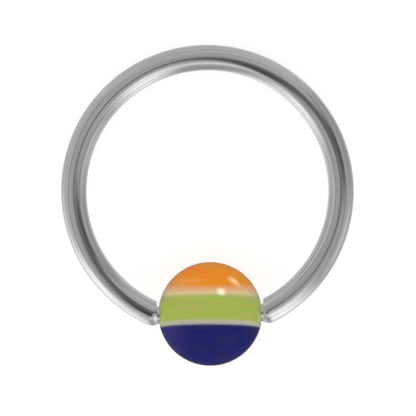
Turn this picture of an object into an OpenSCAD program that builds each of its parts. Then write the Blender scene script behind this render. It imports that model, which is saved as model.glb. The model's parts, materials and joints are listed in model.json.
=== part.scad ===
// Captive bead ring: a ring of round wire with a gap, and a layered ball held in the gap.
// Millimetres. It lies as it rests by itself, on the ball and on the far side of the wire, at z = 0.
// The origin is on the floor under the middle of the ring's outer box.

/* [Ring] */
// Diameter of the wire (16 gauge)
wire_d = 1.28; // [1:0.02:1.6]
// Clear diameter inside the ring
inner_d = 12; // [10:0.5:16]

/* [Bead] */
// Diameter of the ball
bead_d = 5.15; // [4:0.05:6]
// Turn of the ball's layers about the axis of its dimples, in degrees
layer_spin = 4.7; // [0:0.1:360]
// Lean of the layers away from that axis, in degrees
layer_lean = 1.36; // [-4:0.02:4]
// Height of the green band's top face above the ball's middle
green_top = 0.75; // [0.6:0.01:0.9]
// Depth of the green band's bottom face below the ball's middle
green_bottom = 0.47; // [0.3:0.01:0.6]
// Thickness of the cream layer over the green band
upper_line_t = 0.33; // [0.15:0.01:0.5]
// Thickness of the grey-white layer under the green band
lower_line_t = 0.23; // [0.1:0.01:0.4]

/* [Wire ends] */
// Gap on the dimples' axis between the ball and the flat end of the wire
end_gap = 0.06; // [0.04:0.005:0.2]
// Radius that rounds the end of the wire, as a share of the wire's
end_round_share = 1.03; // [1.02:0.01:1.1]
// How far the centre of that rounding lies behind the flat end
round_back = 0.285; // [0.15:0.005:0.31]
// How far the dimples' axis lies outside the centre of the rounded ends
seat_drop = 0.125; // [0:0.005:0.13]
// Diameter of the tip that stands on the flat end, as a share of the wire's
tip_share = 0.7; // [0.6:0.01:0.72]
// Length of the tip
tip_len = 0.35; // [0.3:0.01:0.5]
// Bevel round the end of the tip
tip_bevel = 0.12; // [0.05:0.01:0.15]
// Clearance between the tip and its dimple
seat_gap = 0.04; // [0.02:0.005:0.06]

/* [Hidden] */

// Radii of the wire, of its centre line, of its rounded ends, of its tips and of the ball
wire_r = wire_d / 2;
ring_r = inner_d / 2 + wire_r;
end_round_r = wire_r * end_round_share;
tip_r = wire_r * tip_share;
bead_r = bead_d / 2;

// Places along the dimples' axis, from the ball's middle
end_x = bead_r + end_gap;
round_x = end_x + round_back;
tip_x = end_x - tip_len;

// The rounded ends' distance from the ring's centre, straight down, and the ball's
round_drop = sqrt(pow(ring_r, 2) - pow(round_x, 2));
bead_drop = round_drop + seat_drop;
gap_angle = asin(round_x / ring_r);

// Lean of the ring as it rests on the ball and on the far side of the wire
rest_tilt = asin((bead_r - wire_r) / (ring_r + bead_drop));
ring_z = wire_r + ring_r * sin(rest_tilt);
ring_y = ((bead_drop - ring_r) * cos(rest_tilt) + bead_r - wire_r) / 2;

// Faces between the layers, measured from the ball's middle
upper_line_top = green_top + upper_line_t;
lower_line_bottom = -green_bottom - lower_line_t;

// Cutting bodies reach this far past what they cut
over = 1;
// Facets of each full circle
round_fn = 96;

// Lays the ring down. In the ring's own frame its centre is the origin, its axis is Z, and the ball is at -Y.
module rest() {
    translate([0, ring_y, ring_z])
        rotate([-rest_tilt, 0, 0])
            children();
}

// Puts a piece at the ball, in the ring's own frame
module at_bead() {
    translate([0, -bead_drop, 0])
        children();
}

// Repeats a piece at both ends of the wire
module both_ends() {
    for (side = [0, 1])
        mirror([side, 0, 0])
            children();
}

// The whole ring of wire, with no gap
module closed_ring() {
    rotate_extrude($fn = round_fn)
        translate([ring_r, 0])
            circle(r = wire_r, $fn = round_fn);
}

// The sector that is missing from the ring, up to the centres of the two rounded ends
module gap_sector() {
    reach = ring_r + wire_r + over;
    linear_extrude(height = wire_d + 2 * over, center = true)
        polygon([[0, 0], [-reach * tan(gap_angle), -reach], [reach * tan(gap_angle), -reach]]);
}

// The ball that the end of the wire is rounded to
module rounded_end() {
    translate([round_x, -round_drop, 0])
        sphere(r = end_round_r, $fn = round_fn);
}

// The space between the flat ends
module end_trim() {
    at_bead()
        translate([-end_x, -wire_d - over, -wire_d])
            cube([2 * end_x, 2 * (wire_d + over), 2 * wire_d]);
}

// A tip of the wire, from its end to base_x, or with a clearance the dimple that it sits in
module tip(clearance, base_x) {
    start_x = tip_x - clearance;
    straight_x = tip_x + tip_bevel;
    radius = tip_r + clearance;
    translate([start_x, 0, 0])
        rotate([0, 90, 0])
            cylinder(r1 = radius - tip_bevel, r2 = radius, h = straight_x - start_x, $fn = round_fn);
    translate([straight_x, 0, 0])
        rotate([0, 90, 0])
            cylinder(r = radius, h = base_x - straight_x, $fn = round_fn);
}

module ring_wire() {
    color("silver")
        rest()
            union() {
                difference() {
                    closed_ring();
                    difference() {
                        gap_sector();
                        both_ends()
                            rounded_end();
                    }
                    end_trim();
                }
                at_bead()
                    both_ends()
                        tip(0, end_x);
            }
}

// One layer of the ball, whose poles are at the dimples, between two faces across the layers' own axis
module bead_layer(bottom, top) {
    rest()
        at_bead()
            difference() {
                intersection() {
                    rotate([0, 90, 0])
                        sphere(r = bead_r, $fn = round_fn);
                    rotate([-layer_spin, 0, 0])
                        rotate([0, 0, -layer_lean])
                            translate([-bead_d, bottom, -bead_d])
                                cube([2 * bead_d, top - bottom, 2 * bead_d]);
                }
                both_ends()
                    tip(seat_gap, bead_r + over);
            }
}

module bead_orange_cap() {
    color([0.92, 0.53, 0.15])
        bead_layer(upper_line_top, bead_d);
}

module bead_upper_line() {
    color([0.86, 0.75, 0.58])
        bead_layer(green_top, upper_line_top);
}

module bead_green_band() {
    color([0.63, 0.69, 0.31])
        bead_layer(-green_bottom, green_top);
}

module bead_lower_line() {
    color([0.69, 0.69, 0.59])
        bead_layer(lower_line_bottom, -green_bottom);
}

module bead_blue_cap() {
    color([0.14, 0.16, 0.39])
        bead_layer(-bead_d, lower_line_bottom);
}

ring_wire();
bead_orange_cap();
bead_upper_line();
bead_green_band();
bead_lower_line();
bead_blue_cap();
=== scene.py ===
# Captive bead ring: the finished wire, the ball of coloured layers that it holds, and a plain studio.
# Lengths are in metres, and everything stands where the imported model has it.

import json
import math
from collections import namedtuple

import bmesh
import bpy
import numpy as np
from mathutils import Matrix, Vector


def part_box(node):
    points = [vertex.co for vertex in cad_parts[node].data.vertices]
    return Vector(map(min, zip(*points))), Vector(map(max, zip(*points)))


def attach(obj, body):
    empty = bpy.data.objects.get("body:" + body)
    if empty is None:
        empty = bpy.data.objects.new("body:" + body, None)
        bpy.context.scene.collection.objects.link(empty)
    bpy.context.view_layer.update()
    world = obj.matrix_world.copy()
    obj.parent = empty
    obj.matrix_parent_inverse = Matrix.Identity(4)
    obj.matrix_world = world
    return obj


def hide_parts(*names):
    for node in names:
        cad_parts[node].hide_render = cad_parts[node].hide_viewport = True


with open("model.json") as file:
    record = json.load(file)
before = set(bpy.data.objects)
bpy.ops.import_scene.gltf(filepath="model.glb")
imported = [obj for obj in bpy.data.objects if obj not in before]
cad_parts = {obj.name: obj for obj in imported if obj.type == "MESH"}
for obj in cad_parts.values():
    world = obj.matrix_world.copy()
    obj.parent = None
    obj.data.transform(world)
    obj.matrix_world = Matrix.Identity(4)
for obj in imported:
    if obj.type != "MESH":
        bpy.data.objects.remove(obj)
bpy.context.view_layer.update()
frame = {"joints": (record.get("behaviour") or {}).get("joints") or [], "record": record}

bl_info = {
    "name": "Captive Bead Ring",
    "version": (1, 0, 0),
    "blender": (4, 5, 0),
    "location": "3D View > Sidebar > Bead Ring",
    "description": "Builds a ring of polished wire that holds a ball of coloured layers in its gap",
    "category": "Object",
}

MM = 0.001

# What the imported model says: the wire's radius, the ring's half width and the ball's place
WIRE_RADIUS = frame["record"]["mounts"][0]["dims"]["r_mm"] * MM
RING_HALF_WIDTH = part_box("ring_wire")[1].x
BALL_CENTRE = Vector(frame["joints"][0]["pos_m"])

# How far from that place the sizes below may put the ball
LARGEST_MISFIT = 0.01 * MM

# The ball's layers, from the top one down
LAYERS = ("orange_cap", "upper_line", "green_band", "lower_line", "blue_cap")


def rounded(length):
    """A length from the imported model, rounded to a thousandth of a millimetre."""
    return round(length, 6)


def srgb(red, green, blue):
    """A colour given as 0 to 255 on the screen, as the shaders take it."""
    shares = [channel / 255 for channel in (red, green, blue)]
    return [share / 12.92 if share <= 0.04045 else ((share + 0.055) / 1.055) ** 2.4 for share in shares]


def length_property(name, description, default):
    return bpy.props.FloatProperty(
        name=name, description=description, default=default, min=0.0, unit="LENGTH", precision=5
    )


def share_property(name, description, default, highest=1.0):
    return bpy.props.FloatProperty(name=name, description=description, default=default, min=0.0, max=highest)


def angle_property(name, description, degrees):
    return bpy.props.FloatProperty(
        name=name, description=description, default=math.radians(degrees), subtype="ANGLE", unit="ROTATION"
    )


def colour_property(name, description, default):
    return bpy.props.FloatVectorProperty(
        name=name, description=description, default=default, size=3, min=0.0, max=1.0, subtype="COLOR"
    )


class BEADRING_PG_wire(bpy.types.PropertyGroup):
    """Sizes and finish of the wire"""

    diameter: length_property("Wire diameter", "Thickness of the round wire", 2 * rounded(WIRE_RADIUS))
    inner_diameter: length_property(
        "Inner diameter", "Clear width inside the ring", 2 * rounded(RING_HALF_WIDTH - 2 * WIRE_RADIUS)
    )
    end_gap: length_property("End gap", "Gap between the ball and the shoulder of the wire", 0.06 * MM)
    end_round_share: share_property(
        "End rounding", "Radius that rounds the end of the wire, as a share of the wire's", 1.03, 1.2
    )
    round_back: length_property(
        "Rounding depth", "How far that rounding's centre is behind the shoulder", 0.285 * MM
    )
    shoulder: length_property("Shoulder", "Length over which the shoulder rounds to the tip", 0.03 * MM)
    seat_drop: length_property(
        "Seat drop", "How far the ball's axis is outside the wire's centre line", 0.125 * MM
    )
    tip_share: share_property("Tip width", "Diameter of the tip, as a share of the wire's", 0.7)
    tip_length: length_property("Tip length", "Length of the tip that sits in the ball's dimple", 0.35 * MM)
    tip_bevel: length_property("Tip bevel", "Bevel round the end of the tip", 0.12 * MM)
    colour: colour_property("Steel", "Colour of the polished steel", srgb(203, 203, 203))
    streak_colour: colour_property(
        "Drawing lines", "Colour of the lines left by drawing the wire", srgb(182, 182, 182)
    )
    roughness: share_property("Roughness", "Roughness of the polish", 0.16)


class BEADRING_PG_ball(bpy.types.PropertyGroup):
    """Sizes and finish of the ball"""

    diameter: length_property("Ball diameter", "Width of the ball", 2 * rounded(BALL_CENTRE.z))
    seat_gap: length_property("Seat clearance", "Clearance between the dimple and the wire's tip", 0.04 * MM)
    rim_round: length_property("Rim rounding", "Rounding round the rim of each dimple", 0.03 * MM)
    layer_spin: angle_property("Layer turn", "Turn of the layers about the axis of the dimples", 4.7)
    layer_lean: angle_property("Layer lean", "Lean of the layers away from that axis", 1.36)
    green_top: length_property("Green top", "Height of the green band's top over the middle", 0.75 * MM)
    green_bottom: length_property("Green bottom", "Depth of the band's foot under the middle", 0.47 * MM)
    upper_line: length_property("Cream line", "Thickness of the layer over the green band", 0.33 * MM)
    lower_line: length_property("Grey line", "Thickness of the layer under the green band", 0.23 * MM)
    orange: colour_property("Orange", "Colour of the orange cap", srgb(236, 137, 28))
    cream: colour_property("Cream", "Colour of the cream line", srgb(221, 196, 154))
    green: colour_property("Green", "Colour of the green band", srgb(170, 180, 82))
    grey_white: colour_property("Grey-white", "Colour of the grey-white line", srgb(176, 174, 164))
    blue: colour_property("Blue", "Colour of the blue cap", srgb(28, 33, 99))
    roughness: share_property("Roughness", "Roughness of the polish", 0.06)


class BEADRING_PG_studio(bpy.types.PropertyGroup):
    """Camera, floor and lights"""

    picture_width: length_property("Picture width", "Width that the picture shows at the ring", 20.667 * MM)
    camera_distance: length_property("Camera distance", "Distance from the camera to the ring", 600 * MM)
    camera_roll: angle_property("Camera roll", "Turn of the camera about its own axis", 1.36)
    aim_right: bpy.props.FloatProperty(
        name="Aim right",
        description="Middle of the picture, right of the ring's",
        default=0.035 * MM,
        unit="LENGTH",
    )
    aim_up: bpy.props.FloatProperty(
        name="Aim up",
        description="Middle of the picture, above the ring's",
        default=-0.825 * MM,
        unit="LENGTH",
    )
    daylight: share_property("Daylight", "Brightness of the white room", 1.0, 10.0)
    pale_sheen: share_property("Pale sheen", "Brightness of the walls that pale layers mirror", 0.22, 10.0)
    blue_sheen: share_property("Blue sheen", "Brightness of the walls that the blue cap mirrors", 0.08, 10.0)
    floor_glow: share_property("Floor glow", "Light that the floor gives off by itself", 0.7, 10.0)
    floor_colour: colour_property("Floor", "Colour of the floor", (0.4, 0.4, 0.4))


class RingShape:
    """Sizes worked out from the ones that the user sets, and the ring's place as it rests."""

    def __init__(self, wire, ball):
        self.wire_r = wire.diameter / 2
        self.ring_r = wire.inner_diameter / 2 + self.wire_r
        self.round_r = self.wire_r * wire.end_round_share
        self.tip_r = self.wire_r * wire.tip_share
        self.tip_bevel = wire.tip_bevel
        self.shoulder = wire.shoulder
        self.seat_gap = ball.seat_gap
        self.rim_round = ball.rim_round
        self.ball_r = ball.diameter / 2
        self.end_x = self.ball_r + wire.end_gap
        self.round_x = self.end_x + wire.round_back
        self.tip_x = self.end_x - wire.tip_length
        self.round_drop = math.sqrt(self.ring_r**2 - self.round_x**2)
        self.ball_drop = self.round_drop + wire.seat_drop
        self.gap_angle = math.asin(self.round_x / self.ring_r)
        rise = self.ball_r - self.wire_r
        self.rest_tilt = math.asin(rise / (self.ring_r + self.ball_drop))
        centre_y = ((self.ball_drop - self.ring_r) * math.cos(self.rest_tilt) + rise) / 2
        centre_z = self.wire_r + self.ring_r * math.sin(self.rest_tilt)
        # The ring's own frame has its centre at the origin, its axis along Z and the ball at -Y
        lay_down = Matrix.Rotation(-self.rest_tilt, 4, "X")
        self.ring_place = Matrix.Translation((0, centre_y, centre_z)) @ lay_down
        self.ball_place = self.ring_place @ Matrix.Translation((0, -self.ball_drop, 0))
        turn = Matrix.Rotation(-ball.layer_spin, 4, "X") @ Matrix.Rotation(-ball.layer_lean, 4, "Z")
        self.layer_place = self.ball_place @ turn
        if (self.ball_place.translation - BALL_CENTRE).length > LARGEST_MISFIT:
            raise ValueError("these sizes put the ball away from its place in the packed model")


def ring_shape(context):
    return RingShape(context.scene.bead_ring_wire, context.scene.bead_ring_ball)


# Meshes

def new_piece(name, mesh, body, material):
    """Adds a finished piece of the object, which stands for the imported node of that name."""
    piece = bpy.data.objects.new(name + "_finished", mesh)
    bpy.context.scene.collection.objects.link(piece)
    mesh.materials.append(material)
    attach(piece, body)
    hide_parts(name)


def tube_faces(rows, columns):
    """Quads between rows of points that each run once round."""
    faces = []
    for row in range(rows - 1):
        start = row * columns
        for column in range(columns):
            beside = (column + 1) % columns
            faces.append((start + column, start + beside, start + columns + beside, start + columns + column))
    return faces


def closed_tube(name, rows, end_points):
    """A closed mesh through rows of points that each run once round, with a fan to a point at either end."""
    rows = np.asarray(rows)
    count, columns, _ = rows.shape
    points = [tuple(point) for point in (*rows.reshape(-1, 3), *end_points)]
    faces = tube_faces(count, columns)
    for end, first in ((len(points) - 2, 0), (len(points) - 1, (count - 1) * columns)):
        faces += [(end, first + column, first + (column + 1) % columns) for column in range(columns)]
    mesh = bpy.data.meshes.new(name)
    mesh.from_pydata(points, [], faces)
    work = bmesh.new()
    work.from_mesh(mesh)
    bmesh.ops.recalc_face_normals(work, faces=work.faces)
    for face in work.faces:
        face.smooth = True
    work.to_mesh(mesh)
    work.free()
    return mesh


# The wire

TUBE_COLUMNS = 80
TURNING_ROWS = 14
TURNING_LENGTH = 1.3 * MM
ROUND_ROWS = 96
SHOULDER_ROWS = 6
SHARP_EDGE = math.radians(40)

# The shoulder's section: 1 would make it a quarter of an ellipse, and less makes it fuller
SHOULDER_FULLNESS = 0.6

# How far out the surface is searched for, as a share of the wire's radius, and how often that is halved
SEARCH_REACH = 1.5
SEARCH_STEPS = 44

# A section through the wire: its middle, and the angle between its axis and the dimples' axis
Section = namedtuple("Section", "x y lean")


def wire_sections(shape):
    """Sections of the right half of the wire, from its shoulder at the gap up to the far side of the ring.

    They stand square to the dimples' axis at the shoulder, and turn within a short stretch to stand square to
    the wire.
    """
    sections = []
    start_x = shape.end_x + shape.shoulder
    for step in range(TURNING_ROWS + 1):
        share = step / TURNING_ROWS
        x = start_x + TURNING_LENGTH * share
        if x < shape.round_x:
            angle = shape.gap_angle
            middle = (x, -shape.round_drop)
        else:
            angle = shape.gap_angle + (x - shape.round_x) / shape.ring_r
            middle = (shape.ring_r * math.sin(angle), -shape.ring_r * math.cos(angle))
        ease = share * share * (3 - 2 * share)
        sections.append(Section(*middle, angle * ease))
    start = angle
    for step in range(1, ROUND_ROWS + 1):
        angle = start + (math.pi - start) * step / ROUND_ROWS
        middle = (shape.ring_r * math.sin(angle), -shape.ring_r * math.cos(angle))
        sections.append(Section(*middle, angle))
    return sections


def depth_outside_wire(points, shape):
    """How far points lie outside the round wire, whose end is rounded off by a slightly larger ball."""
    x, y, z = np.moveaxis(points, -1, 0)
    past_x = x - shape.round_x
    past_y = y + shape.round_drop
    from_middle = np.hypot(np.hypot(x, y) - shape.ring_r, z)
    towards_gap = past_x * -math.cos(shape.gap_angle) + past_y * -math.sin(shape.gap_angle)
    from_round = np.sqrt(past_x**2 + past_y**2 + z**2)
    wire = from_middle - shape.wire_r
    rounding = np.where(towards_gap > 0, from_round, from_middle) - shape.round_r
    blend = shape.round_r - shape.wire_r
    near = np.maximum(blend - np.abs(wire - rounding), 0) / blend
    # The larger of the two, with the edge between them smoothed
    return np.maximum(wire, rounding) + near * near * blend / 4


def wire_rows(shape):
    """Rows of points round the wire's surface, one for each section, found along rays from its middle."""
    sections = wire_sections(shape)
    turn = np.linspace(0, 2 * math.pi, TUBE_COLUMNS, endpoint=False)
    middle = np.array([(s.x, s.y, 0) for s in sections])[:, None, :]
    outward = np.array([(math.sin(s.lean), -math.cos(s.lean), 0) for s in sections])[:, None, :]
    upward = np.array((0, 0, 1.0))
    rays = outward * np.cos(turn)[None, :, None] + upward * np.sin(turn)[None, :, None]
    inside = np.zeros(rays.shape[:2])
    outside = np.full(rays.shape[:2], SEARCH_REACH * shape.wire_r)
    for _ in range(SEARCH_STEPS):
        half = (inside + outside) / 2
        beyond = depth_outside_wire(middle + rays * half[..., None], shape) > 0
        outside = np.where(beyond, half, outside)
        inside = np.where(beyond, inside, half)
    return middle + rays * inside[..., None]


def tip_row(shape, x, radius):
    """Points round the dimples' axis."""
    turn = np.linspace(0, 2 * math.pi, TUBE_COLUMNS, endpoint=False)
    y = -shape.ball_drop - radius * np.cos(turn)
    return np.stack([np.full_like(turn, x), y, radius * np.sin(turn)], axis=-1)


def shoulder_rows(shape, wire_row):
    """Rows that round the end of the wire off to the foot of its tip."""
    foot = tip_row(shape, shape.end_x, shape.tip_r)
    rows = []
    for step in range(SHOULDER_ROWS):
        angle = math.pi / 2 * (1 - step / SHOULDER_ROWS)
        across = math.cos(angle) ** SHOULDER_FULLNESS
        along = math.sin(angle) ** SHOULDER_FULLNESS
        row = foot + (wire_row - foot) * across
        row[:, 0] = shape.end_x + shape.shoulder * (1 - along)
        rows.append(row)
    return rows


def wire_mesh(shape):
    """The whole wire: two tips, two shoulders and the round stretch between them."""
    half = wire_rows(shape)
    tip = [
        tip_row(shape, shape.tip_x, (shape.tip_r - shape.tip_bevel) / 2),
        tip_row(shape, shape.tip_x, shape.tip_r - shape.tip_bevel),
        tip_row(shape, shape.tip_x + shape.tip_bevel, shape.tip_r),
    ]
    right = np.concatenate([tip, shoulder_rows(shape, half[0]), half])
    left = right[-2::-1] * np.array((-1.0, 1.0, 1.0))
    ends = [(shape.tip_x, -shape.ball_drop, 0), (-shape.tip_x, -shape.ball_drop, 0)]
    mesh = closed_tube("ring_wire", np.concatenate([right, left]), ends)
    mesh.transform(shape.ring_place)
    mesh.set_sharp_from_angle(angle=SHARP_EDGE)
    return mesh


# The ball

BALL_COLUMNS = 224
BALL_ROWS = 120
RIM_STEPS = 5

# Points this close to the ball's surface count as lying on it, and points this close to a cut as lying in it
ON_BALL = 0.0005 * MM
IN_CUT = 1e-6 * MM


def dimple_profile(shape):
    """Points (x, radius) from the ball's surface over the rim of a dimple and down to its floor."""
    wall_r = shape.tip_r + shape.seat_gap
    floor_x = shape.tip_x - shape.seat_gap
    rim_x = math.sqrt(shape.ball_r**2 - wall_r**2)
    outer_r = wall_r + shape.rim_round
    outer = Vector((math.sqrt(shape.ball_r**2 - outer_r**2), outer_r))
    corner = Vector((rim_x, wall_r))
    inner = Vector((rim_x - shape.rim_round, wall_r))
    rim = []
    for step in range(RIM_STEPS + 1):
        share = step / RIM_STEPS
        rim.append(outer * (1 - share) ** 2 + corner * 2 * share * (1 - share) + inner * share**2)
    bevel = shape.tip_bevel
    floor = [(shape.tip_x + bevel, wall_r), (floor_x, wall_r - bevel), (floor_x, wall_r / 3)]
    return rim + [Vector(point) for point in floor]


def ball_mesh(shape):
    """The whole ball, turned about the axis of its dimples, in its own place."""
    dimple = dimple_profile(shape)
    rim_angle = math.atan2(dimple[0].y, dimple[0].x)
    arc = []
    for step in range(1, BALL_ROWS):
        angle = rim_angle + (math.pi - 2 * rim_angle) * step / BALL_ROWS
        arc.append(Vector((math.cos(angle), math.sin(angle))) * shape.ball_r)
    profile = dimple[::-1] + arc + [Vector((-point.x, point.y)) for point in dimple]
    turn = np.linspace(0, 2 * math.pi, BALL_COLUMNS, endpoint=False)
    rows = [
        np.stack([np.full_like(turn, point.x), point.y * np.cos(turn), point.y * np.sin(turn)], axis=-1)
        for point in profile
    ]
    floor_x = dimple[-1].x
    mesh = closed_tube("ball", rows, [(floor_x, 0, 0), (-floor_x, 0, 0)])
    mesh.transform(shape.ball_place)
    return mesh


def layer_bounds(ball):
    """Height of each layer's lower and upper face over the ball's middle, from the top layer down."""
    faces = [
        ball.diameter,
        ball.green_top + ball.upper_line,
        ball.green_top,
        -ball.green_bottom,
        -ball.green_bottom - ball.lower_line,
        -ball.diameter,
    ]
    return list(zip(faces[1:], faces[:-1]))


def cut_flat(work, place, height, keep_below):
    """Cuts the mesh along one face of a layer, and closes the cut."""
    up = place.to_3x3() @ Vector((0, 1, 0))
    geometry = work.verts[:] + work.edges[:] + work.faces[:]
    bmesh.ops.bisect_plane(
        work,
        geom=geometry,
        dist=IN_CUT,
        plane_co=place.translation + up * height,
        plane_no=up if keep_below else -up,
        clear_outer=True,
    )
    rim = [edge for edge in work.edges if edge.is_boundary]
    made = bmesh.ops.contextual_create(work, geom=rim)
    for face in made["faces"]:
        face.smooth = False


def layer_mesh(name, whole, shape, bottom, top):
    """One layer of the ball as a closed piece, with the ball's true curve in its shading."""
    work = bmesh.new()
    work.from_mesh(whole)
    if top < shape.ball_r:
        cut_flat(work, shape.layer_place, top, keep_below=True)
    if bottom > -shape.ball_r:
        cut_flat(work, shape.layer_place, bottom, keep_below=False)
    bmesh.ops.recalc_face_normals(work, faces=work.faces)
    for face in work.faces:
        if not face.smooth:
            for edge in face.edges:
                edge.smooth = False
    mesh = bpy.data.meshes.new(name)
    work.to_mesh(mesh)
    work.free()
    centre = shape.ball_place.translation
    normals = [Vector(corner.vector) for corner in mesh.corner_normals]
    for polygon in mesh.polygons:
        if not polygon.use_smooth:
            continue
        for loop in polygon.loop_indices:
            arm = mesh.vertices[mesh.loops[loop].vertex_index].co - centre
            if abs(arm.length - shape.ball_r) < ON_BALL:
                normals[loop] = arm.normalized()
    mesh.normals_split_custom_set(normals)
    return mesh


# Materials

ACRYLIC_IOR = 1.49

# How many times thinner the strata of the layers are than they are wide
STRATA_SQUEEZE = 9.0

# Depth of the finest drawing lines on the wire, as a share of the coarser ones'
FINE_LINE_DEPTH = 0.5

# Tints of the strata, stains and seams in the layers, and one painted sheen, beside each layer's own colour
AMBER = srgb(228, 146, 22)
DEEP_ORANGE = srgb(240, 128, 38)
PAINTED_SHEEN_PEACH = srgb(246, 156, 88)
PALE_PEACH = srgb(226, 172, 126)
WARM_CREAM = srgb(227, 168, 118)
DULL_CREAM = srgb(206, 176, 122)
GREENISH_CREAM = srgb(212, 196, 132)
CREAM_SEAM = srgb(183, 182, 112)
LEAF_GREEN = srgb(157, 182, 76)
OLIVE = srgb(176, 170, 94)
TAN = srgb(178, 170, 98)
LIME = srgb(170, 186, 66)
GREEN_TOP_SEAM = srgb(177, 181, 108)
GREEN_FOOT_SEAM = srgb(170, 179, 116)
GREENISH_WHITE = srgb(182, 184, 140)
BEIGE = srgb(188, 178, 156)
PALE_GREEN = srgb(178, 194, 130)
GREY_SEAM = srgb(138, 136, 142)
BRIGHT_BLUE = srgb(20, 29, 111)
SLATE_BLUE = srgb(40, 42, 92)
DULL_BLUE = srgb(38, 39, 84)
VIOLET = srgb(56, 53, 120)
BLUE_SEAM = srgb(84, 84, 118)

# A soft streak along the strata of a layer: its middle and its half size, in shares of the ball's radius
Streak = namedtuple("Streak", "across height half_length half_height")

GREEN_STREAKS = (
    Streak(-0.38, 0.045, 0.45, 0.07),
    Streak(0.72, 0.26, 0.4, 0.06),
)


def plug(tree, socket, value):
    if isinstance(value, bpy.types.NodeSocket):
        tree.links.new(value, socket)
    else:
        socket.default_value = value


def add_node(tree, kind, inputs=None, **settings):
    """A node with its settings, and with its inputs linked or set."""
    made = tree.nodes.new(kind)
    for name, value in settings.items():
        setattr(made, name, value)
    for name, value in (inputs or {}).items():
        plug(tree, made.inputs[name], value)
    return made


def calculate(tree, operation, *values):
    made = add_node(tree, "ShaderNodeMath", operation=operation)
    for socket, value in zip(made.inputs, values):
        plug(tree, socket, value)
    return made.outputs[0]


def rise_between(tree, value, low, high):
    """0 below low, 1 above high, and a smooth rise between them."""
    made = add_node(tree, "ShaderNodeMapRange", interpolation_type="SMOOTHSTEP")
    for name, number in (("Value", value), ("From Min", low), ("From Max", high)):
        plug(tree, made.inputs[name], number)
    return made.outputs["Result"]


def fall_between(tree, value, low, high):
    """1 below low, 0 above high, and a smooth fall between them."""
    return calculate(tree, "SUBTRACT", 1.0, rise_between(tree, value, low, high))


def varied(tree, share, middle, spread):
    """A value that runs over spread, half of it below middle, as share runs from 0 to 1."""
    return calculate(tree, "MULTIPLY_ADD", share, spread, middle - spread / 2)


def distance_from_origin(tree, point):
    return add_node(tree, "ShaderNodeVectorMath", {0: point}, operation="LENGTH").outputs["Value"]


def blend_colours(tree, share, first, second, strength=1.0):
    """The first colour where share is 0, and where it is 1 as much of the second as strength says."""
    made = add_node(tree, "ShaderNodeMix", data_type="RGBA")
    colours = [socket for socket in made.inputs if socket.type == "RGBA"]
    plug(tree, made.inputs[0], calculate(tree, "MULTIPLY", share, strength))
    for socket, colour in zip(colours, (first, second)):
        plug(tree, socket, colour if isinstance(colour, bpy.types.NodeSocket) else (*colour, 1.0))
    return next(socket for socket in made.outputs if socket.type == "RGBA")


def noise(tree, point, stretch, scale, detail=2.0, roughness=0.5):
    """Noise from 0 to 1 whose marks are squeezed along each axis by stretch."""
    squeezed = add_node(tree, "ShaderNodeMapping", {"Vector": point, "Scale": stretch})
    inputs = {"Vector": squeezed.outputs[0], "Scale": scale, "Detail": detail, "Roughness": roughness}
    return add_node(tree, "ShaderNodeTexNoise", inputs).outputs["Fac"]


def add_bump(tree, shader, height, strength, distance):
    made = add_node(tree, "ShaderNodeBump", {"Height": height, "Strength": strength, "Distance": distance})
    tree.links.new(made.outputs[0], shader.inputs["Normal"])


def start_material(name):
    material = bpy.data.materials.new(name)
    material.use_nodes = True
    tree = material.node_tree
    return material, tree, tree.nodes["Principled BSDF"]


def local_point(tree, place, unit):
    """The surface point in a frame of its own, which stays with the piece as it turns."""
    point = add_node(tree, "ShaderNodeTexCoord").outputs["Object"]
    inputs = {
        "Vector": point,
        "Location": place.translation,
        "Rotation": place.to_euler("XYZ"),
        "Scale": (unit, unit, unit),
    }
    return add_node(tree, "ShaderNodeMapping", inputs, vector_type="TEXTURE").outputs[0]


def straightened_wire(tree, shape):
    """The surface point as if the wire were pulled straight, in millimetres: outward, upward and along."""
    ring_r = shape.ring_r / MM
    x, y, z = add_node(tree, "ShaderNodeSeparateXYZ", {0: local_point(tree, shape.ring_place, MM)}).outputs
    squares = [calculate(tree, "MULTIPLY", side, side) for side in (x, y)]
    reach = calculate(tree, "SQRT", calculate(tree, "ADD", *squares))
    outward = calculate(tree, "SUBTRACT", reach, ring_r)
    along = calculate(tree, "MULTIPLY", calculate(tree, "ARCTAN2", x, y), ring_r)
    return add_node(tree, "ShaderNodeCombineXYZ", {0: outward, 1: z, 2: along}).outputs[0]


def polished_steel(wire, shape):
    """Steel wire, polished over the fine lines that drawing it left along its length."""
    material, tree, shader = start_material("polished_steel")
    point = straightened_wire(tree, shape)
    lines = noise(tree, point, stretch=(1, 1, 0.02), scale=9.0, detail=3.0)
    fine_lines = noise(tree, point, stretch=(1, 1, 0.01), scale=30.0)
    shade = rise_between(tree, lines, low=0.35, high=0.7)
    colour = blend_colours(tree, shade, wire.colour, wire.streak_colour)
    tree.links.new(colour, shader.inputs["Base Color"])
    tree.links.new(varied(tree, fine_lines, wire.roughness, spread=0.08), shader.inputs["Roughness"])
    shader.inputs["Metallic"].default_value = 1.0
    height = calculate(tree, "MULTIPLY_ADD", fine_lines, FINE_LINE_DEPTH, lines)
    add_bump(tree, shader, height, strength=0.2, distance=0.004 * MM)
    return material


def start_acrylic(name, shape):
    """A polished acrylic and its nodes, the surface point, and how far across and up the layers it lies.

    The point and the two distances are in shares of the ball's radius, from its middle.
    """
    material, tree, shader = start_material(name)
    shader.inputs["IOR"].default_value = ACRYLIC_IOR
    point = local_point(tree, shape.layer_place, shape.ball_r)
    across, height, _ = add_node(tree, "ShaderNodeSeparateXYZ", {0: point}).outputs
    return material, tree, point, across, height


def finish_acrylic(material, tree, point, colour, roughness):
    """Sets the colour, with the fine polishing marks that every layer has."""
    shader = tree.nodes["Principled BSDF"]
    marks = noise(tree, point, stretch=(1, 1, 1), scale=40.0, detail=3.0)
    tree.links.new(colour, shader.inputs["Base Color"])
    tree.links.new(varied(tree, marks, roughness, spread=0.04), shader.inputs["Roughness"])
    add_bump(tree, shader, marks, strength=0.01, distance=0.001 * MM)
    return material


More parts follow.
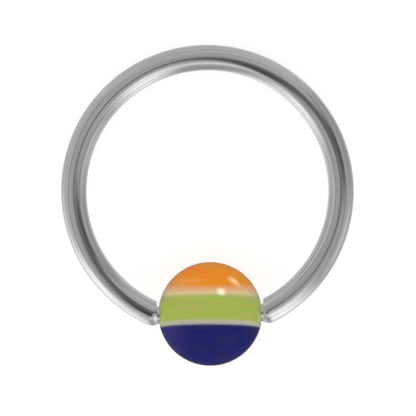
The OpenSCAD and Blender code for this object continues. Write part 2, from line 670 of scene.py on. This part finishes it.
def strata(tree, point, along, scale, low, high):
    """1 in some of the thin strata that lie in the plane of the layers, and 0 in others."""
    grain = noise(tree, point, (along, STRATA_SQUEEZE, along), scale, detail=3.0, roughness=0.6)
    return rise_between(tree, grain, low, high)


def patches(tree, point, squeeze, scale, low, high):
    """1 in some of the large soft patches that lie in a layer, and 0 in others."""
    return rise_between(tree, noise(tree, point, (1, squeeze, 1), scale, detail=3.0), low, high)


def soft_streak(tree, point, streak):
    """1 in the core of a streak, and 0 past its edge."""
    inputs = {
        "Vector": point,
        "Location": (streak.across, streak.height, 0),
        "Scale": (streak.half_length, streak.half_height, 1),
    }
    inside = add_node(tree, "ShaderNodeMapping", inputs, vector_type="TEXTURE").outputs[0]
    flat = add_node(tree, "ShaderNodeVectorMath", {0: inside, 1: (1, 1, 0)}, operation="MULTIPLY").outputs[0]
    return fall_between(tree, distance_from_origin(tree, flat), low=0.3, high=1.0)


def seam_tint(tree, height, colour, tint, seam, reach):
    """The colour, tinted near the seam with the next layer: from all at seam to nothing at seam + reach."""
    over_seam = calculate(tree, "SUBTRACT", height, seam)
    away = rise_between(tree, calculate(tree, "MULTIPLY", over_seam, 1 / reach), low=0.0, high=1.0)
    return blend_colours(tree, away, tint, colour)


def side_tint(tree, across, colour, tint, strength):
    """The colour, tinted near the two dimples and not between them."""
    side = rise_between(tree, calculate(tree, "ABSOLUTE", across), low=0.5, high=0.9)
    return blend_colours(tree, side, colour, tint, strength)


def orange_acrylic(ball, shape):
    material, tree, point, across, height = start_acrylic("orange_acrylic", shape)
    foot = (ball.green_top + ball.upper_line) / shape.ball_r
    clear = patches(tree, point, squeeze=1.4, scale=2.2, low=0.42, high=0.58)
    colour = blend_colours(tree, clear, AMBER, ball.orange)
    deep = strata(tree, point, along=1.0, scale=1.6, low=0.45, high=0.75)
    colour = blend_colours(tree, deep, colour, DEEP_ORANGE)
    # A painted pale sheen on the cap's left side, just over its foot, where the shading falls off towards the
    # rim
    streak = Streak(across=-0.45, height=foot + 0.17, half_length=0.5, half_height=0.08)
    colour = blend_colours(tree, soft_streak(tree, point, streak), colour, PAINTED_SHEEN_PEACH, strength=0.5)
    # The pale foot of the cap climbs a little towards the ball's sides
    climb = calculate(tree, "MULTIPLY", calculate(tree, "MULTIPLY", across, across), -0.1)
    pale = fall_between(tree, calculate(tree, "ADD", height, climb), low=foot - 0.04, high=foot + 0.11)
    colour = blend_colours(tree, pale, colour, PALE_PEACH)
    return finish_acrylic(material, tree, point, colour, ball.roughness)


def cream_acrylic(ball, shape):
    material, tree, point, across, height = start_acrylic("cream_acrylic", shape)
    foot = ball.green_top / shape.ball_r
    top = (ball.green_top + ball.upper_line) / shape.ball_r
    warm = rise_between(tree, height, low=foot + (top - foot) / 3, high=top)
    colour = blend_colours(tree, warm, ball.cream, WARM_CREAM)
    cloudy = strata(tree, point, along=1.2, scale=2.2, low=0.4, high=0.8)
    colour = blend_colours(tree, cloudy, colour, DULL_CREAM, strength=0.35)
    colour = side_tint(tree, across, colour, GREENISH_CREAM, strength=0.6)
    colour = seam_tint(tree, height, colour, CREAM_SEAM, seam=foot, reach=0.06)
    return finish_acrylic(material, tree, point, colour, ball.roughness)


def green_acrylic(ball, shape):
    material, tree, point, across, height = start_acrylic("green_acrylic", shape)
    foot = -ball.green_bottom / shape.ball_r
    top = ball.green_top / shape.ball_r
    dull = strata(tree, point, along=0.8, scale=3.0, low=0.35, high=0.65)
    colour = blend_colours(tree, dull, LEAF_GREEN, ball.green)
    olive = strata(tree, point, along=0.7, scale=1.3, low=0.5, high=0.7)
    colour = blend_colours(tree, olive, colour, OLIVE, strength=0.7)
    for streak in GREEN_STREAKS:
        colour = blend_colours(tree, soft_streak(tree, point, streak), colour, TAN, strength=0.8)
    left_end = fall_between(tree, across, low=-0.95, high=-0.75)
    colour = blend_colours(tree, left_end, colour, LIME, strength=0.6)
    colour = seam_tint(tree, height, colour, GREEN_TOP_SEAM, seam=top, reach=-0.05)
    colour = seam_tint(tree, height, colour, GREEN_FOOT_SEAM, seam=foot, reach=0.04)
    return finish_acrylic(material, tree, point, colour, ball.roughness)


def grey_white_acrylic(ball, shape):
    material, tree, point, across, height = start_acrylic("grey_white_acrylic", shape)
    foot = -(ball.green_bottom + ball.lower_line) / shape.ball_r
    top = -ball.green_bottom / shape.ball_r
    greenish = rise_between(tree, height, low=(foot + top) / 2, high=top)
    colour = blend_colours(tree, greenish, ball.grey_white, GREENISH_WHITE)
    cloudy = strata(tree, point, along=1.0, scale=2.4, low=0.4, high=0.75)
    colour = blend_colours(tree, cloudy, colour, BEIGE, strength=0.6)
    colour = side_tint(tree, across, colour, PALE_GREEN, strength=0.7)
    colour = seam_tint(tree, height, colour, GREY_SEAM, seam=foot, reach=0.035)
    return finish_acrylic(material, tree, point, colour, ball.roughness)


def blue_acrylic(ball, shape):
    material, tree, point, across, height = start_acrylic("blue_acrylic", shape)
    top = -(ball.green_bottom + ball.lower_line) / shape.ball_r
    bright = strata(tree, point, along=0.8, scale=1.8, low=0.4, high=0.75)
    colour = blend_colours(tree, bright, ball.blue, BRIGHT_BLUE)
    slate = patches(tree, point, squeeze=1.8, scale=2.4, low=0.45, high=0.65)
    colour = blend_colours(tree, slate, colour, SLATE_BLUE, strength=0.6)
    dull = rise_between(tree, height, low=top - 0.12, high=top)
    colour = blend_colours(tree, dull, colour, DULL_BLUE, strength=0.7)
    left_side = fall_between(tree, across, low=-0.9, high=-0.3)
    colour = blend_colours(tree, left_side, colour, VIOLET, strength=0.8)
    colour = seam_tint(tree, height, colour, BLUE_SEAM, seam=top, reach=-0.035)
    return finish_acrylic(material, tree, point, colour, ball.roughness)


# The material of each layer, after a name that nothing reads
ACRYLICS = {
    "orange_cap": ("orange_acrylic", orange_acrylic),
    "upper_line": ("cream_acrylic", cream_acrylic),
    "green_band": ("green_acrylic", green_acrylic),
    "lower_line": ("grey_white_acrylic", grey_white_acrylic),
    "blue_cap": ("blue_acrylic", blue_acrylic),
}


# The studio

WHITE = (1.0, 1.0, 1.0, 1.0)
FLOOR_HALF_WIDTH = 1.5
FLOOR_ROUGHNESS = 0.9
SENSOR_WIDTH_MM = 36
LAMP_DISTANCE = 0.3
GLINT_LAMP_DISTANCE = 3.5 * MM

# The nearest and the furthest that the camera sees, as shares of its distance
NEAREST_SHARE = 0.01
FURTHEST_SHARE = 20

# A panel of light, seen from the ring. Turn and lean are its direction, in degrees: turn runs anticlockwise
# in the picture from the right, and lean is measured from the ring's axis. Across and along are its width in
# degrees, square to the direction of lean and along it. Brightness is what its face shows, with white as 1,
# and fade is the share of its width over which it fades out at each edge.
Panel = namedtuple("Panel", "name turn lean across along brightness fade")

# The walls and the underside of the tent that the wire mirrors, and soft panels that add light to them
WIRE_PANELS = (
    Panel("wall_right", 0, 92, 100, 96, 0.55, 0.15),
    Panel("wall_back", 90, 90, 100, 100, 0.72, 0.15),
    Panel("wall_left", 180, 92, 100, 96, 0.72, 0.15),
    Panel("wall_front", 270, 90, 100, 100, 0.52, 0.15),
    Panel("underside", 0, 180, 100, 100, 0.8, 0.15),
    Panel("lower_left", 223, 88, 60, 96, 1.1, 0.5),
    Panel("lower_right", 300, 86, 44, 132, 1.18, 0.5),
    Panel("front_edge", 268, 52, 56, 38, 0.65, 0.5),
    Panel("left", 196, 108, 56, 60, 0.35, 0.5),
    Panel("right", 338, 92, 58, 100, 0.3, 0.5),
    Panel("low_front", 244, 112, 44, 64, 0.65, 0.5),
    Panel("rim_left", 222, 155, 70, 50, 0.8, 0.5),
)

# The roof of that tent, over the middle of the ring
ROOF = Panel("roof", 0, 0, 100, 100, 0.6, 0.15)

# A dark slot in the roof, which the wire mirrors as a part of the dark line along its top. Right and up say
# where its middle is, in degrees from the ring's axis, and turn runs anticlockwise in the picture. Its half
# sizes are in degrees too, and brightness is what its middle shows, with white as 1.
Slot = namedtuple("Slot", "right up turn half_length half_width brightness")

ROOF_SLOTS = (
    Slot(-9, -18, 60, 21, 6.5, 0.03),
    Slot(6, 6, 45, 11, 4.5, 0.1),
    Slot(37, 13, 17, 30, 12.5, 0.13),
)

# A slot is at its darkest up to the first share of its half size, and ends at the second
SLOT_CORE = 0.6
SLOT_END = 1.4

# A small lamp that the ball mirrors. Right and up say where the picture shows the glint, in shares of the
# ball's radius. Across and along are the lamp's size in degrees, seen from the glint: square to the glint's
# direction from the ball's middle, and along it.
Glint = namedtuple("Glint", "name right up across along brightness")

BALL_GLINTS = (
    Glint("glint_dot", 0.22, 0.43, 34, 34, 14),
    Glint("glint_streak", 0.475, 0.62, 42, 31, 6.6),
)
GLINT_FADE = 0.5
GLINT_COLOUR = (1.0, 0.97, 0.74)

# The walls round the ball meet at their edges, so they hardly fade
BALL_WALL_FADE = 0.01


def camera_axes(shape, studio):
    """The camera's right, up and back directions. It looks along the ring's axis."""
    turn = shape.ring_place.to_3x3() @ Matrix.Rotation(-studio.camera_roll, 3, "Z")
    return turn.col[0], turn.col[1], turn.col[2]


def add_camera(shape, studio):
    right, up, back = camera_axes(shape, studio)
    aim = shape.ring_place.translation + right * studio.aim_right + up * studio.aim_up
    lens = bpy.data.cameras.new("camera")
    lens.sensor_width = SENSOR_WIDTH_MM
    lens.lens = SENSOR_WIDTH_MM * studio.camera_distance / studio.picture_width
    lens.clip_start = studio.camera_distance * NEAREST_SHARE
    lens.clip_end = studio.camera_distance * FURTHEST_SHARE
    camera = bpy.data.objects.new("camera", lens)
    camera.matrix_world = Matrix((right, up, back)).transposed().to_4x4()
    camera.location = aim + back * studio.camera_distance
    bpy.context.scene.collection.objects.link(camera)
    bpy.context.scene.camera = camera


def add_floor(studio):
    """A plain pale floor that glows a little, so that shadows on it stay soft."""
    mesh = bpy.data.meshes.new("floor")
    half = FLOOR_HALF_WIDTH
    corners = [(-half, -half, 0), (half, -half, 0), (half, half, 0), (-half, half, 0)]
    mesh.from_pydata(corners, [], [(0, 1, 2, 3)])
    floor = bpy.data.objects.new("floor", mesh)
    bpy.context.scene.collection.objects.link(floor)
    material, _, shader = start_material("pale_floor")
    shader.inputs["Base Color"].default_value = (*studio.floor_colour, 1.0)
    shader.inputs["Roughness"].default_value = FLOOR_ROUGHNESS
    shader.inputs["Specular IOR Level"].default_value = 0.0
    shader.inputs["Emission Color"].default_value = WHITE
    shader.inputs["Emission Strength"].default_value = studio.floor_glow
    mesh.materials.append(material)
    floor.visible_glossy = False
    floor.visible_shadow = False


def add_room(studio):
    """Even white light from all round, which polished surfaces don't mirror."""
    world = bpy.data.worlds.new("white_room")
    bpy.context.scene.world = world
    world.use_nodes = True
    background = world.node_tree.nodes["Background"]
    background.inputs["Color"].default_value = WHITE
    background.inputs["Strength"].default_value = studio.daylight
    world.cycles_visibility.glossy = False


def fade_edges(tree, face, fade):
    """The share of light that a lamp's face gives, which falls to nothing at its edges."""
    sides = add_node(tree, "ShaderNodeSeparateXYZ", {0: face}).outputs
    fades = [rise_between(tree, calculate(tree, "PINGPONG", side, 0.5), 0.0, fade) for side in sides[:2]]
    return calculate(tree, "MULTIPLY", *fades)


def add_lamp(name, centre, towards, across, size, brightness, fade, receivers, distance=LAMP_DISTANCE):
    """A flat lamp that faces centre from the direction towards, and that only the receivers mirror.

    Its face is as bright as brightness says, and fades out at its edges over a share of its width. Size is
    its width and height, across is the direction of its width, and distance is how far from centre it stands.
    """
    light = bpy.data.lights.new(name, "AREA")
    light.shape = "RECTANGLE"
    light.size, light.size_y = size
    # The face of such a lamp shows as bright as its power over its area and pi
    light.energy = brightness * math.pi * size[0] * size[1]
    light.use_nodes = True
    tree = light.node_tree
    face = add_node(tree, "ShaderNodeNewGeometry").outputs["Parametric"]
    tree.links.new(fade_edges(tree, face, fade), tree.nodes["Emission"].inputs["Strength"])
    lamp = bpy.data.objects.new(name, light)
    back = towards.normalized()
    side = (across - back * back.dot(across)).normalized()
    lamp.matrix_world = Matrix((side, back.cross(side), back)).transposed().to_4x4()
    lamp.location = centre + back * distance
    lamp.visible_camera = False
    lamp.visible_diffuse = False
    lamp.light_linking.receiver_collection = receivers
    bpy.context.scene.collection.objects.link(lamp)
    return light


def receivers_of(name, pieces):
    """The pieces that a lamp is to light, as a collection."""
    group = bpy.data.collections.new(name)
    for piece in pieces:
        group.objects.link(piece)
    return group


def direction(turn, lean):
    """A direction in the ring's own frame, from its turn and lean in degrees."""
    turn, lean = math.radians(turn), math.radians(lean)
    return Vector((math.sin(lean) * math.cos(turn), math.sin(lean) * math.sin(turn), math.cos(lean)))


def seen_width(degrees, distance=LAMP_DISTANCE):
    """The width of a lamp that is seen under that angle from that distance."""
    return 2 * distance * math.tan(math.radians(degrees) / 2)


def add_panel(shape, panel, receivers):
    place = shape.ring_place.to_3x3()
    towards = place @ direction(panel.turn, panel.lean)
    across = place @ direction(panel.turn + 90, 90)
    size = (seen_width(panel.across), seen_width(panel.along))
    centre = shape.ring_place.translation
    return add_lamp(panel.name, centre, towards, across, size, panel.brightness, panel.fade, receivers)


def add_roof(shape, receivers):
    """The roof of the wire's tent, square to the ring's axis, with its dark slots."""
    light = add_panel(shape, ROOF, receivers)
    tree = light.node_tree
    face = add_node(tree, "ShaderNodeNewGeometry").outputs["Parametric"]
    strength = tree.nodes["Emission"].inputs["Strength"]
    for slot in ROOF_SLOTS:
        right, up, half_length, half_width = (
            LAMP_DISTANCE * math.tan(math.radians(angle)) / light.size
            for angle in (slot.right, slot.up, slot.half_length, slot.half_width)
        )
        # The lamp's width runs up the picture and its height to the left
        inputs = {
            "Vector": face,
            "Location": (0.5 + up, 0.5 - right, 0),
            "Rotation": (0, 0, math.radians(slot.turn - 90)),
            "Scale": (half_length, half_width, 1),
        }
        inside = add_node(tree, "ShaderNodeMapping", inputs, vector_type="TEXTURE").outputs[0]
        clear = rise_between(tree, distance_from_origin(tree, inside), SLOT_CORE, SLOT_END)
        dark = slot.brightness / ROOF.brightness
        share = calculate(tree, "MULTIPLY_ADD", clear, 1 - dark, dark)
        tree.links.new(calculate(tree, "MULTIPLY", strength.links[0].from_socket, share), strength)


def add_glint(shape, glint, receivers):
    """A small lamp, placed inside the ring so that the ball mirrors it where the glint shows."""
    facing = Vector((glint.right, glint.up, math.sqrt(1 - glint.right**2 - glint.up**2)))
    towards = 2 * facing.z * facing - Vector((0, 0, 1))
    place = shape.ring_place.to_3x3()
    across = place @ Vector((-glint.up, glint.right, 0))
    reach = GLINT_LAMP_DISTANCE
    size = (seen_width(glint.across, reach), seen_width(glint.along, reach))
    spot = shape.ball_place @ (facing * shape.ball_r)
    light = add_lamp(
        glint.name, spot, place @ towards, across, size, glint.brightness, GLINT_FADE, receivers, reach
    )
    light.color = GLINT_COLOUR


def add_ball_tent(shape, brightness, receivers):
    """Six even walls round the ball, which give the polish of some layers a faint sheen towards the rim."""
    centre = shape.ball_place.translation
    size = (2 * LAMP_DISTANCE, 2 * LAMP_DISTANCE)
    for axis in range(3):
        across = Vector([1 if index == (axis + 1) % 3 else 0 for index in range(3)])
        for side, sign in (("low", -1), ("high", 1)):
            towards = Vector([sign if index == axis else 0 for index in range(3)])
            name = f"{receivers.name}_{'xyz'[axis]}_{side}"
            add_lamp(name, centre, towards, across, size, brightness, BALL_WALL_FADE, receivers)


class BEADRING_OT_make_wire(bpy.types.Operator):
    """Makes the ring of polished wire, with rounded shoulders and the tips that hold the ball"""

    bl_idname = "bead_ring.make_wire"
    bl_label = "Make Wire"
    bl_options = {"REGISTER", "UNDO"}

    def execute(self, context):
        shape = ring_shape(context)
        material = polished_steel(context.scene.bead_ring_wire, shape)
        new_piece("ring_wire", wire_mesh(shape), "ring", material)
        return {"FINISHED"}


class BEADRING_OT_make_ball(bpy.types.Operator):
    """Makes the ball as five layers of coloured acrylic, dimpled for the tips of the wire"""

    bl_idname = "bead_ring.make_ball"
    bl_label = "Make Ball"
    bl_options = {"REGISTER", "UNDO"}

    def execute(self, context):
        shape = ring_shape(context)
        ball = context.scene.bead_ring_ball
        whole = ball_mesh(shape)
        for layer, (bottom, top) in zip(LAYERS, layer_bounds(ball)):
            slot, acrylic = ACRYLICS[layer]
            name = "bead_" + layer
            new_piece(name, layer_mesh(name, whole, shape, bottom, top), "bead", acrylic(ball, shape))
        bpy.data.meshes.remove(whole)
        return {"FINISHED"}


class BEADRING_OT_make_studio(bpy.types.Operator):
    """Makes the camera, the pale floor and the soft lights"""

    bl_idname = "bead_ring.make_studio"
    bl_label = "Make Studio"
    bl_options = {"REGISTER", "UNDO"}

    def execute(self, context):
        shape = ring_shape(context)
        studio = context.scene.bead_ring_studio
        context.scene.view_settings.view_transform = "Standard"
        add_camera(shape, studio)
        add_floor(studio)
        add_room(studio)
        layers = [bpy.data.objects[f"bead_{layer}_finished"] for layer in LAYERS]
        for layer in layers:
            # The wire in the picture is grey throughout, with nothing of the ball's colours in its polish
            layer.visible_glossy = False
        wire = receivers_of("lit_as_metal", [bpy.data.objects["ring_wire_finished"]])
        ball = receivers_of("lit_as_gloss", layers)
        for panel in WIRE_PANELS:
            add_panel(shape, panel, wire)
        add_roof(shape, wire)
        add_ball_tent(shape, studio.pale_sheen, receivers_of("lit_as_pale_gloss", layers[:-1]))
        add_ball_tent(shape, studio.blue_sheen, receivers_of("lit_as_blue_gloss", layers[-1:]))
        for glint in BALL_GLINTS:
            add_glint(shape, glint, ball)
        return {"FINISHED"}


class BEADRING_PT_panel(bpy.types.Panel):
    """Lists what the add-on makes"""

    bl_idname = "BEADRING_PT_panel"
    bl_label = "Captive Bead Ring"
    bl_space_type = "VIEW_3D"
    bl_region_type = "UI"
    bl_category = "Bead Ring"

    def draw(self, context):
        for settings, operator in (
            ("bead_ring_wire", BEADRING_OT_make_wire),
            ("bead_ring_ball", BEADRING_OT_make_ball),
            ("bead_ring_studio", BEADRING_OT_make_studio),
        ):
            group = getattr(context.scene, settings)
            box = self.layout.box()
            for name in group.bl_rna.properties.keys():
                if name not in ("rna_type", "name"):
                    box.prop(group, name)
            box.operator(operator.bl_idname)


CLASSES = (
    BEADRING_PG_wire,
    BEADRING_PG_ball,
    BEADRING_PG_studio,
    BEADRING_OT_make_wire,
    BEADRING_OT_make_ball,
    BEADRING_OT_make_studio,
    BEADRING_PT_panel,
)


def register():
    for cls in CLASSES:
        bpy.utils.register_class(cls)
    bpy.types.Scene.bead_ring_wire = bpy.props.PointerProperty(type=BEADRING_PG_wire)
    bpy.types.Scene.bead_ring_ball = bpy.props.PointerProperty(type=BEADRING_PG_ball)
    bpy.types.Scene.bead_ring_studio = bpy.props.PointerProperty(type=BEADRING_PG_studio)


def unregister():
    del bpy.types.Scene.bead_ring_studio
    del bpy.types.Scene.bead_ring_ball
    del bpy.types.Scene.bead_ring_wire
    for cls in reversed(CLASSES):
        bpy.utils.unregister_class(cls)


def main():
    register()
    bpy.ops.bead_ring.make_wire()
    bpy.ops.bead_ring.make_ball()
    bpy.ops.bead_ring.make_studio()


if __name__ == "__main__":
    main()
